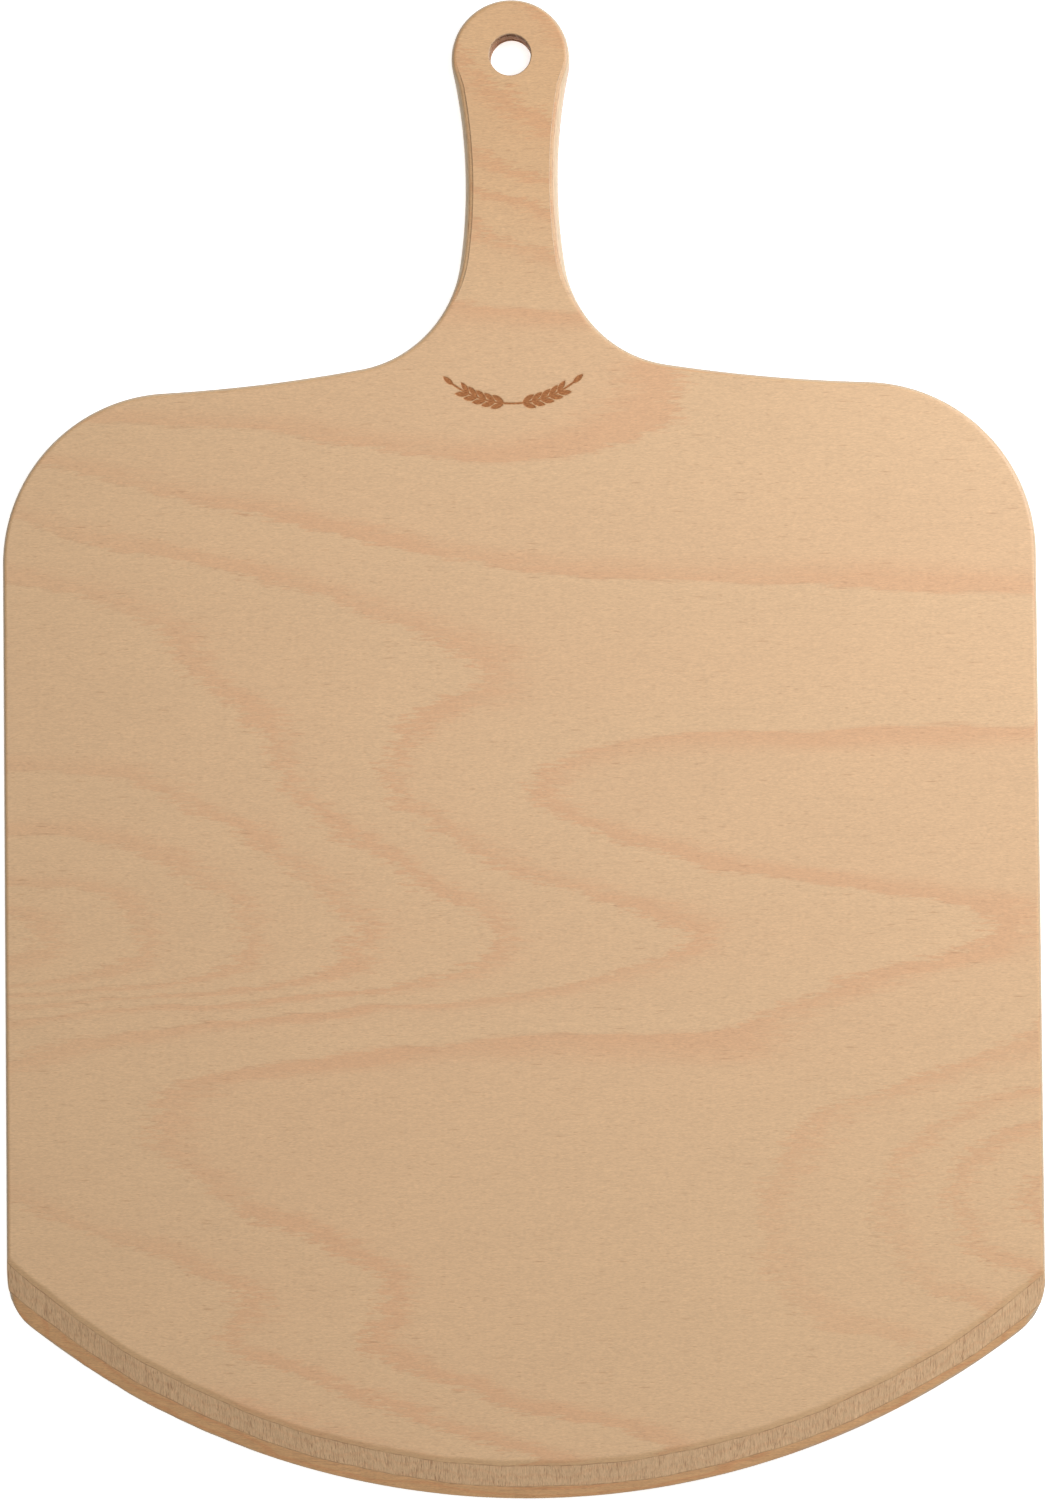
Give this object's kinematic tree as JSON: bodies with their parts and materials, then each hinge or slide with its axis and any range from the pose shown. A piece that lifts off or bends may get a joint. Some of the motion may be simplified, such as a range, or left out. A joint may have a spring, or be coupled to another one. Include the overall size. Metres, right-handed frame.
{
  "type": "pizza peel",
  "caption": "Flat beech plywood pizza peel with a broad blade, a bevelled curved front edge and a short round-ended handle with a hanging hole.",
  "frame": {"origin": "middle of the length and width, on the back face that it rests on", "axes": "+Y along the handle, away from the bevelled front edge; +Z out of the face, up when it lies on its back; +X to the right when looking at the face with the handle up"},
  "size_m": [0.35, 0.507, 0.009],
  "materials": {
    "beech_veneer": "untreated beech, sanded smooth, matt",
    "beech_cross_ply": "untreated beech with the grain across, sawn and sanded",
    "beech_core_ply": "untreated beech with the grain along, sawn and sanded",
    "glue": "cured resin glue line, matt"
  },
  "bodies": {
    "root": {"back_veneer": "beech_veneer", "back_glue_film": "glue", "lower_cross_ply": "beech_cross_ply", "lower_core_glue_film": "glue", "core_ply": "beech_core_ply", "upper_core_glue_film": "glue", "upper_cross_ply": "beech_cross_ply", "face_glue_film": "glue", "face_veneer": "beech_veneer"}
  },
  "joints": []
}
